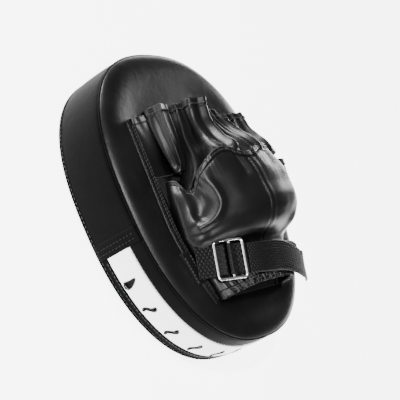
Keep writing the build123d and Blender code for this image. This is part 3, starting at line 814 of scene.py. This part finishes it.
def sleeve_grid(stations, slant, creases, seed, wave):
    """Soft tube from its root to its mouth. Stations are (y, middle x, half width, top z) from the mouth."""
    table = np.array(sorted(stations), float)
    share = np.linspace(0, 1, SLEEVE_ROWS)
    y = table[0, 0] + (table[-1, 0] - table[0, 0]) * share
    middle, half, top = smooth_curve(table[:, 0], table[:, 1:], y).T
    turn = np.linspace(0, 2 * math.pi, SLEEVE_AROUND, endpoint=False)
    cos, sin = np.cos(turn), np.sin(turn)
    flat = np.sign(sin) * np.abs(sin) ** np.where(sin > 0, 0.9, 0.75)
    x = middle[:, None] + half[:, None] * np.sign(cos) * np.abs(cos) ** 0.92
    height = (top - BASE_Z)[:, None] / 2
    z = BASE_Z + height + height * flat
    tilt = slant * cos[None, :] * (share[:, None] ** 3)
    points = np.stack([x, y[:, None] - tilt, z], 2)
    normal = grid_normals(points, True)
    lift = 0.12 * smooth_noise(points * np.array([1, 0.4, 1]), 11, seed)
    lift += 0.3 * smooth_noise(points, 21, seed + 50)
    for at_root, at_mouth, depth, width in creases:
        angle = np.radians(at_root + (at_mouth - at_root) * share)[:, None]
        away = np.angle(np.exp(1j * (turn[None, :] - angle)))
        lift += depth * np.exp(-(away / width) ** 2) * step(share, 0.0, 0.12)[:, None]
    near_mouth = (1 - share)[:, None] * (table[-1, 0] - table[0, 0])
    lift += 0.3 * (1 - step(near_mouth, 5.4, 6.2))
    lift -= 0.35 * np.exp(-((near_mouth - 6.6) / 0.7) ** 2)
    lift += wave * np.exp(-near_mouth / 6.0) * np.sin(3 * turn + seed)[None, :]
    points = points + normal * lift[..., None]
    points[..., 2] = np.maximum(points[..., 2], BASE_Z - 0.1)
    return points, grid_normals(points, True), near_mouth


# each finger sleeve: stations, slant of its mouth, and creases as (angle at the root, angle at the mouth,
# height, width)
SLEEVES = (
    (
        ((68, -41.5, 9.3, 74.5), (60, -41.5, 9.5, 74), (50, -40.7, 9.2, 73), (40, -38.8, 8.4, 71),
         (30, -36.5, 7.2, 68.5), (22, -34.6, 6.0, 66), (15, -33.5, 5.0, 63.5)),
        0.0,
        ((188, 190, 0.9, 0.2), (152, 152, -1.5, 0.34), (116, 116, 1.7, 0.16), (86, 86, -0.8, 0.3),
         (58, 60, 0.5, 0.2)),
    ),
    (
        ((71, -13.5, 5.2, 69), (62, -15, 6, 70.5), (52, -17, 7, 71.5), (42, -18.5, 8, 71.5),
         (32, -19.5, 8.5, 73), (24, -21, 8.5, 75), (12, -25, 8.5, 76), (3, -31, 8, 73), (-5, -35, 7, 68)),
        0.0,
        ((140, 130, 0.9, 0.22), (96, 92, -1.0, 0.3), (62, 62, 0.9, 0.2)),
    ),
    (
        ((71, 2.5, 12.5, 80.5), (62, 1.5, 12.5, 79.5), (52, 0.5, 12.5, 79), (42, -0.5, 12.5, 82),
         (32, -3, 12.5, 88), (24, -5, 13.5, 95.5), (14, -6, 13.5, 99)),
        1.0,
        ((150, 150, 0.8, 0.3), (112, 106, -2.4, 0.34), (80, 74, 2.4, 0.24), (45, 45, -0.9, 0.35)),
    ),
    (
        ((58, 27, 12, 76), (52, 28, 12.6, 77.5), (44, 28, 13.5, 81), (36, 26, 14.5, 87),
         (28, 24, 15.5, 94.5), (20, 23, 16, 99.5), (12, 23, 16, 102)),
        8.0,
        ((112, 152, 1.5, 0.15), (96, 134, -1.3, 0.17), (82, 116, 1.5, 0.15), (66, 98, -1.3, 0.17),
         (50, 80, 1.3, 0.15)),
    ),
    (
        ((60, 62, 7.4, 72), (52, 61, 8.2, 74), (44, 59, 9.2, 77), (35, 55.5, 11, 83),
         (27, 51, 12.5, 90), (20, 48, 13.5, 94.5), (12, 47, 13.5, 97)),
        1.0,
        ((150, 150, 0.8, 0.25), (118, 116, -0.9, 0.28), (88, 88, 0.9, 0.2)),
    ),
)


def sleeve_flat(points):
    """Width, length and area in metres of the flat piece that a sleeve was sewn from."""
    ring = np.concatenate([points, points[:, :1]], 1)
    around = np.linalg.norm(np.diff(ring, axis=1), axis=2).sum(1) * MM
    along = np.linalg.norm(np.diff(points, axis=0), axis=2).sum(0).mean() * MM
    return around.max(), along, around.mean() * along


def sleeve(name, grid):
    """Leather tube of a sleeve from its grid."""
    return thicken(grid_object(name, grid[0], SLEEVE, closed_v=True), SKIN)


def mouth_stitches(name, points, normals, near_mouth):
    """Stitches on the upper side of a sleeve's hem."""
    row = int(np.argmin(np.abs(near_mouth[:, 0] - STITCHED_IN)))
    normal = normals[row, STITCHED_PART]
    return stitches(name, points[row, STITCHED_PART] + normal * 0.15, normal, pitch=2.6, length=1.9)


hem_seams = []
for number, (stations, slant, creases) in enumerate(SLEEVES, start=1):
    grid = sleeve_grid(stations, slant, creases, seed=number, wave=0.25)
    sleeve_piece = sleeve(f"finger_sleeve_{number}_leather", grid)
    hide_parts(f"finger_sleeve_{number}")
    width, length, area = sleeve_flat(grid[0])
    hem_seams.append(mouth_stitches(f"finger_hem_stitches_{number}", *grid))
finger_hem_rows = join("finger_hem_stitches", hem_seams)
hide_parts("finger_hems")

THUMB_STATIONS = (
    (11.5, 77.5, 13, 81), (0, 76.5, 13, 80.5), (-14, 74, 13, 80), (-28, 71, 12.5, 79), (-37, 66, 11.5, 76),
    (-45, 58, 9, 71), (-52, 50, 5, 64),
)
THUMB_CREASES = ((140, 140, 0.9, 0.18), (100, 104, -1.3, 0.25), (70, 66, 1.0, 0.16))
thumb_grid = sleeve_grid(THUMB_STATIONS, 0.0, THUMB_CREASES, seed=9, wave=0.5)
thumb_piece = sleeve("thumb_sleeve_leather", thumb_grid)
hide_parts("thumb_sleeve", "thumb_hem")
width, length, area = sleeve_flat(thumb_grid[0])
thumb_stitches = mouth_stitches("thumb_hem_stitches", *thumb_grid)

# ------------------------------------------------------------------ strap, tabs and buckle
ACROSS = np.array([0.088, 0.977, 0.192])
ACROSS /= np.linalg.norm(ACROSS)
LEVEL = np.cross(ACROSS, [0.0, 0.0, 1.0])
LEVEL /= np.linalg.norm(LEVEL)
RISE = np.cross(LEVEL, ACROSS)
STRAP_ORIGIN = np.array([0.0, -63.2, PANEL_TOP])
WEB_SKIN = 1.3
PILE = 0.6                   # thickness of the hook and loop patches
THREAD_STEP = 0.33           # spacing of the points that carry a web's threads


def arch_point(angle):
    """Point of the strap's inner arch in its plane; angle pi is left and 0 is right."""
    power = np.where(np.cos(angle) >= 0, 2 / 2.4, 1.0)
    reach = np.where(np.cos(angle) >= 0, 57.0, 47.4)
    u = 8 + np.sign(np.cos(angle)) * reach * np.abs(np.cos(angle)) ** power
    return np.stack([u, 29.3 * np.abs(np.sin(angle)) ** power], -1)


def arch_path(start, end, low, count):
    """Strap plane path between two angles in degrees at a height over the arch, and its normals."""
    angle = np.radians(np.linspace(start, end, count))
    here = arch_point(angle)
    run = arch_point(angle - 0.002) - arch_point(angle + 0.002)
    run /= np.linalg.norm(run, axis=1, keepdims=True)
    normal = np.stack([-run[:, 1], run[:, 0]], 1)
    return here + normal * low, normal


def in_space(flat):
    """Places in space from places in the strap's plane."""
    return STRAP_ORIGIN + flat[:, :1] * LEVEL + flat[:, 1:] * RISE


def webbing(name, path, normal, width=24.0, thickness=WEB_SKIN, body="mitt", weave=0.55, period=2.0,
            shift=None, end_cut=0.0, material=WEBBING):
    """Woven band with real raised threads, from its underside's path in space and its normals."""
    run = distance_along(path)
    length = run[-1]
    rows = max(int(length / THREAD_STEP), 12)
    wanted = np.linspace(0, length, rows)
    path = rows_at(wanted, run, path)
    normal = rows_at(wanted, run, normal)
    normal /= np.linalg.norm(normal, axis=1, keepdims=True)
    moved = np.zeros(rows) if shift is None else np.interp(wanted, run, shift)
    top = np.linspace(-width / 2, width / 2, int(width / THREAD_STEP))
    low = np.linspace(width / 2, -width / 2, 20)
    side = np.concatenate([top, low])
    is_top = np.concatenate([np.ones(len(top)), np.zeros(len(low))])
    edge = step(width / 2 - np.abs(side), 0.0, 0.9)
    height = np.where(is_top > 0, thickness * (0.55 + 0.45 * edge), thickness * 0.45 * (1 - edge))
    cut = end_cut * (side / width)[None, :] * step(wanted, length - 30, length)[:, None]
    along = np.gradient(path, axis=0)
    along /= np.linalg.norm(along, axis=1, keepdims=True)
    a = wanted[:, None] + cut
    stagger = np.floor(side / period)[None, :] % 2 * (period * 0.8)
    thread = np.abs(np.sin(math.pi * (a + stagger) / (period * 1.5))) ** 0.7
    groove = np.abs(np.sin(math.pi * side / period))[None, :] ** 0.7
    relief = weave * (thread * groove - 0.5) * is_top[None, :] * edge[None, :]
    rise = height[None, :] + relief
    grid = path[:, None] + along[:, None] * cut[..., None]
    grid = grid + (side[None, :] + moved[:, None])[..., None] * ACROSS + normal[:, None] * rise[..., None]
    return grid_object(name, grid, material, closed_v=True, body=body, caps=True)


def normals_in_space(flat):
    """Directions in space from directions in the strap's plane."""
    return flat[:, :1] * LEVEL + flat[:, 1:] * RISE


def strap_web(name, flat, normal, *sizes, **options):
    """Web given in the strap's plane."""
    return webbing(name, in_space(flat), normals_in_space(normal), *sizes, **options)


flat, normal = arch_path(127, 4, 0.0, 160)
wrist_strap = strap_web("wrist_strap_webbing", flat, normal, body=None)
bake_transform(wrist_strap)
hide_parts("wrist_strap")
flat, normal = arch_path(95, 18, 1.4, 120)
loop_patch = strap_web(
    "loop_patch_pile", flat, normal, 22.0, PILE, weave=0.1, period=1.0, material=BLACK_CLOTH
)
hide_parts("loop_patch")
flat, normal = arch_path(95, 30, 2.35, 120)
hook_patch = strap_web(
    "hook_patch_pile", flat, normal, 20.0, PILE, body="tail", weave=0.2, period=1.0, material=BLACK_CLOTH
)
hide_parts("hook_patch")
flat, normal = arch_path(125, 62, 3.05, 90)
drop = flat[-1] - flat[-2]
drop /= np.linalg.norm(drop)
reach = np.linspace(0.6, 37.5, 60)
ahead = flat[-1] + reach[:, None] * (drop + np.array([0, -0.006]) * reach[:, None])
flat = np.concatenate([flat, ahead])
normal = np.concatenate([normal, np.repeat(normal[-1:], len(ahead), 0)])
slip = -8.0 * step(flat[:, 0], 12, 66)
strap_tail = strap_web("strap_tail_webbing", flat, normal, body="tail", shift=slip, end_cut=-33.0)
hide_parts("strap_tail")

BUCKLE_CENTRE = np.array([-34.0, -63.2, 72.8])
ALONG = np.array([0.854, -0.173, 0.491])
ALONG /= np.linalg.norm(ALONG)
OUT = np.cross(ALONG, ACROSS)


def in_buckle(flat):
    """Places in space from places in the buckle's side view."""
    flat = np.asarray(flat, float)
    return BUCKLE_CENTRE + flat[:, :1] * ALONG + flat[:, 1:] * OUT


def out_of_buckle(flat):
    """Directions in space from directions in the buckle's side view."""
    flat = np.asarray(flat, float)
    return flat[:, :1] * ALONG + flat[:, 1:] * OUT


BAR_X = 0.8
WRAP_SKIN = 1.1              # thickness of the webs where they pass through the buckle


def turn_round(centre_x, radius, start, end, count=40):
    """Arc of a web's inner side round a bar, in the buckle's side view, and its normals."""
    angle = np.radians(np.linspace(start, end, count))
    normal = np.stack([np.cos(angle), np.sin(angle)], 1)
    return np.array([centre_x, 0.0]) + radius * normal, normal


def joined(*parts):
    """One path and its normals from several."""
    path = np.concatenate([np.asarray(p[0], float) for p in parts])
    normal = np.concatenate([np.asarray(p[1], float) for p in parts])
    keep = np.concatenate([[True], np.linalg.norm(np.diff(path, axis=0), axis=1) > 1e-3])
    return path[keep], normal[keep]


def straight(start, end, normal, count=40):
    """Straight stretch of a web's inner side, and its normals."""
    t = np.linspace(0, 1, count)[:, None]
    return np.asarray(start) * (1 - t) + np.asarray(end) * t, np.repeat([normal], count, 0)


path, normal = joined(
    straight((-27.6, -0.9), (-14.0, -2.6), (-0.12, 0.99)),
    straight((-13.6, -2.62), (-9.6, -2.6), (0.0, 1.0)),
    straight((-9.2, -2.55), (-4.6, -1.0), (-0.3, 0.95)),
    turn_round(-4.4, 1.1, 100, -80, 24) - np.array([[[0, 2.1]], [[0, 0]]]),
    straight((-4.4, -3.2), (-9.2, -4.2), (0.1, -1.0)),
    straight((-9.6, -4.25), (-23.6, -2.9), (0.05, -1.0)),
)
anchor_web = webbing(
    "anchor_webbing", in_buckle(path), out_of_buckle(normal), thickness=WRAP_SKIN, weave=0.7, period=2.4
)
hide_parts("anchor_web")
path, normal = joined(
    straight((13.8, -2.6), (6.5, -2.2), (0.0, 1.0)),
    straight((6.3, -2.1), (1.2, 1.1), (-0.3, 0.95)),
    turn_round(BAR_X, 1.15, 80, 260),
    straight((1.5, -1.2), (7.0, -3.9), (-0.3, -0.95)),
    straight((7.4, -4.0), (13.8, -4.0), (0.0, -1.0)),
)
strap_wrap = webbing(
    "strap_wrap_webbing", in_buckle(path), out_of_buckle(normal), thickness=WRAP_SKIN, body="buckle",
    weave=0.5,
)
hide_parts("strap_wrap")


def on_panel(centre, turn, x, y):
    """Flat places given across and along a tab that is turned about its centre."""
    a = math.radians(turn)
    across = centre[0] + x * math.cos(a) - y * math.sin(a)
    return np.stack([across, centre[1] + x * math.sin(a) + y * math.cos(a)], -1)


def tab(name, centre, width, length, turn, thickness):
    """Sewn tab of doubled webbing with soft edges."""
    u, v = np.meshgrid(np.linspace(-1, 1, 60), np.linspace(-1, 1, 130), indexing="ij")
    x, y = u * width / 2, v * length / 2
    edge = step(1 - np.abs(u), 0, 0.16) * step(1 - np.abs(v), 0, 0.06)
    threads = np.abs(np.sin(math.pi * x / TAB_PERIOD + np.floor(y / TAB_PERIOD)))
    weave = 0.12 * np.abs(np.sin(math.pi * y / TAB_PERIOD)) * threads
    height = FEET_Z - 0.3 + thickness * (0.1 + 0.9 * edge) + weave * edge
    return grid_object(name, at_height(on_panel(centre, turn, x, y), height), WEBBING)


TAB_PERIOD = 1.7             # spacing of the tabs' threads
ANCHOR_AT = (-59.2, -60.5)
ANCHOR_TURN = 13.0
anchor_tab = tab("anchor_tab_webbing", ANCHOR_AT, 10.5, 28.0, ANCHOR_TURN, 2.0)
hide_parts("anchor_tab")
right_tab = tab("right_strap_tab_webbing", (61.0, -68.0), 8.6, 27.5, -13.0, 1.5)
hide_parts("right_strap_tab")
rows = []
reach = np.linspace(-12.2, 12.2, 40)
for number, row in enumerate((-3.6, 3.6)):
    path = at_height(on_panel(ANCHOR_AT, ANCHOR_TURN, row, reach), FEET_Z + 1.75)
    rows.append(stitches(f"tab_stitches_{number}", path, UP, pitch=2.8, length=2.0))
tab_stitches = join("tab_stitch_rows", rows)
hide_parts("tab_stitches")

FOAM = cloth("grey_foam", 0.3, 0.4, 700.0)
for name, material in (
    ("buckle_frame", CHROME), ("buckle_bar", CHROME),
    ("front_foam", FOAM), ("core_foam", FOAM), ("palm_foam", FOAM),
):
    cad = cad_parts[name]
    cad.data.materials.clear()
    cad.data.materials.append(material)
    for polygon in cad.data.polygons:
        polygon.material_index = 0

# ------------------------------------------------------------------ stitches and vents of the rim
hem_rows = []
for side in (-1, 1):
    for row in (3.2, 7.2):
        place = hem_distance(BAND_HEM_Y + row)
        place = place if side > 0 else PERIMETER - place
        heights = np.linspace(FRONT_SEAM_Z + 2, BACK_SEAM_Z - 2, 60)
        name = f"band_hem_row_{side + 1}_{row:.0f}"
        hem_rows.append(rim_row(name, np.full(60, place), heights, 0.62, pitch=3.6))
hem_stitches = join("band_hem_stitches", hem_rows)
hem_stitches.data.materials.clear()
hem_stitches.data.materials.append(BLACK_CLOTH)
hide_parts("hem_stitches")
around = np.linspace(0, PERIMETER, 900)
seam_z = FRONT_SEAM_Z + 1.9
seam_row = rim_row("front_seam_row", around, seam_z, 0.2, pitch=3.9, length=2.4, width=0.6, height=0.3)
join("front_seam_stitches", [seam_row])
wrist_run = np.linspace(-HEM_AT + 3, HEM_AT - 3, 500)
strip_rows = [
    rim_row(f"strip_edge_row_{n}", wrist_run, z, 0.1, pitch=3.4, length=2.3, width=0.5, height=0.25)
    for n, z in enumerate((STRIP_LOW_Z - 1.6, STRIP_HIGH_Z + 1.6))
]
join("strip_edge_stitches", strip_rows)

VENT_PITCH = 25.2
VENTS_PER_SIDE = 5
VENT_MIDDLE_Z = (STRIP_LOW_Z + STRIP_HIGH_Z) / 2 - 3.5
VENTS = range(-VENTS_PER_SIDE, VENTS_PER_SIDE + 1)
CUT_IN = 2.6                 # how far inside and outside the outline the slits are cut
CUT_OUT = 4.0
backing = rim_skin(
    "vent_backing_mesh", STRIP_LOW_Z - 1, STRIP_HIGH_Z + 1, *WRIST, MESH, thickness=0.4, lift=-2.4, tuck=0.0
)
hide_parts("vent_backing")


def vent_cutter(k):
    """Inner and outer loop of a slit through the strip: bent like a tilde, and the first one gapes."""
    side = 1 if k >= 0 else -1
    distance = VENT_PITCH * k
    t = np.linspace(-1, 1, 26)
    spine_z = VENT_MIDDLE_Z + 5.9 * t
    spine_d = distance - side * (1.4 * t + 1.3 * np.sin(math.pi * t))
    half = 1.05 * np.sqrt(np.clip(1 - t ** 6, 0, 1)) * (1 + 0.25 * np.sin(2.2 * t + distance)) + 0.12
    gape = np.zeros(len(t))
    if k == -VENTS_PER_SIDE:
        spine_d = distance - 0.6 + 0.3 * t - 0.5 * t ** 2
        half, gape = 0.45 * half, 4.3 * (1 - t ** 2) ** 0.7
    loop_d = np.concatenate([spine_d - half, (spine_d + half + gape)[::-1]])
    loop_z = np.concatenate([spine_z, (spine_z - gape)[::-1]])
    return np.stack([at_height(outline_at(loop_d, out), loop_z) for out in (-CUT_IN, CUT_OUT)], 0)


cutters = [
    grid_object(f"cutter_{k + VENTS_PER_SIDE}", vent_cutter(k), MESH, closed_v=True, caps=True) for k in VENTS
]
cutter = join("vent_cutter", cutters)
bpy.context.view_layer.objects.active = cutter
bpy.ops.object.mode_set(mode="EDIT")
bpy.ops.mesh.select_all(action="SELECT")
bpy.ops.mesh.normals_make_consistent(inside=False)
bpy.ops.object.mode_set(mode="OBJECT")
cut = strip.modifiers.new("vents", "BOOLEAN")
cut.object = cutter
cut.solver = "EXACT"
bpy.context.view_layer.objects.active = strip
for other in bpy.context.selected_objects:
    other.select_set(False)
strip.select_set(True)
for modifier in list(strip.modifiers):
    bpy.ops.object.modifier_apply(modifier=modifier.name)
bpy.data.objects.remove(cutter)


def vent_binding(k):
    """Black edging sewn round one slit."""
    inner, outer = vent_cutter(k)
    outwards = (outer - inner) / (CUT_IN + CUT_OUT)
    surface = inner + outwards * (CUT_IN + rim_out(inner[:, 2]) + 0.1)[:, None]
    path = np.concatenate([surface, surface[:2]])
    return grid_object(f"vent_binding_{k + VENTS_PER_SIDE}", tube_points(path, 0.55, 8), MESH, closed_v=True)


vent_bindings = join("vent_bindings", [vent_binding(k) for k in VENTS])


# ------------------------------------------------------------------ floor, light and camera
CAMERA_AZIMUTH = -76.69
CAMERA_ELEVATION = 35.15
CAMERA_ROLL = 60.23
CAMERA_DISTANCE = 0.9
CAMERA_LENS = 99.0
CAMERA_AIM = Vector((0, 0, 0.02716))


def make_camera():
    """Camera that sees the mitt as the photo does."""
    a, e, r = (math.radians(v) for v in (CAMERA_AZIMUTH, CAMERA_ELEVATION, CAMERA_ROLL))
    back = Vector((math.sin(a) * math.cos(e), -math.cos(a) * math.cos(e), math.sin(e)))
    level = Vector((math.cos(a), math.sin(a), 0))
    up = back.cross(level)
    right = level * math.cos(r) + up * math.sin(r)
    top = back.cross(right)
    data = bpy.data.cameras.new("camera")
    data.lens = CAMERA_LENS
    data.sensor_width = 36
    data.shift_x = 0.04
    data.shift_y = 0.01
    data.clip_start = 0.05
    data.clip_end = 20
    camera = add_object("camera", data)
    turn = Matrix((right, top, back)).transposed().to_4x4()
    camera.matrix_world = Matrix.Translation(CAMERA_AIM + back * CAMERA_DISTANCE) @ turn
    bpy.context.scene.camera = camera


LIGHTS_AIM = Vector((0, 0, 0.05))


def make_light(name, place, size, power, size_y=None):
    """Rectangular lamp turned towards the mitt."""
    data = bpy.data.lights.new(name, "AREA")
    data.shape = "RECTANGLE"
    data.size = size
    data.size_y = size_y or size
    data.energy = power
    lamp = add_object(name, data)
    lamp.location = place
    lamp.rotation_euler = (LIGHTS_AIM - Vector(place)).to_track_quat("-Z", "Y").to_euler()


def make_stage():
    """White paper floor that glows, and the pale room round it."""
    size = 6.0
    mesh = bpy.data.meshes.new("floor")
    corners = [(-size, -size, 0), (size, -size, 0), (size, size, 0), (-size, size, 0)]
    mesh.from_pydata(corners, [], [(0, 1, 2, 3)])
    material, _, shader = new_material("floor_paper")
    shader.inputs["Base Color"].default_value = (0.92, 0.92, 0.92, 1)
    shader.inputs["Roughness"].default_value = 0.9
    shader.inputs["Emission Color"].default_value = (1, 1, 1, 1)
    shader.inputs["Emission Strength"].default_value = 5.0
    mesh.materials.append(material)
    floor = add_object("floor", mesh)
    floor.location.z = -0.0004
    world = bpy.data.worlds.new("studio")
    bpy.context.scene.world = world
    world.use_nodes = True
    back = world.node_tree.nodes["Background"]
    back.inputs[0].default_value = (1, 1, 1, 1)
    back.inputs[1].default_value = 0.2


make_camera()
make_stage()
make_light("key", (-0.2, 1.3, 0.35), 0.14, 30.0, 0.5)
make_light("top", (-0.95, -0.35, 0.95), 0.08, 14.0, 0.3)
make_light("side", (1.3, 0.35, 0.25), 0.25, 8.0, 0.6)
make_light("fill", (0.3, -1.3, 0.4), 0.2, 6.0)
make_light("edge", (-0.7, 0.24, 1.15), 0.07, 22.0)
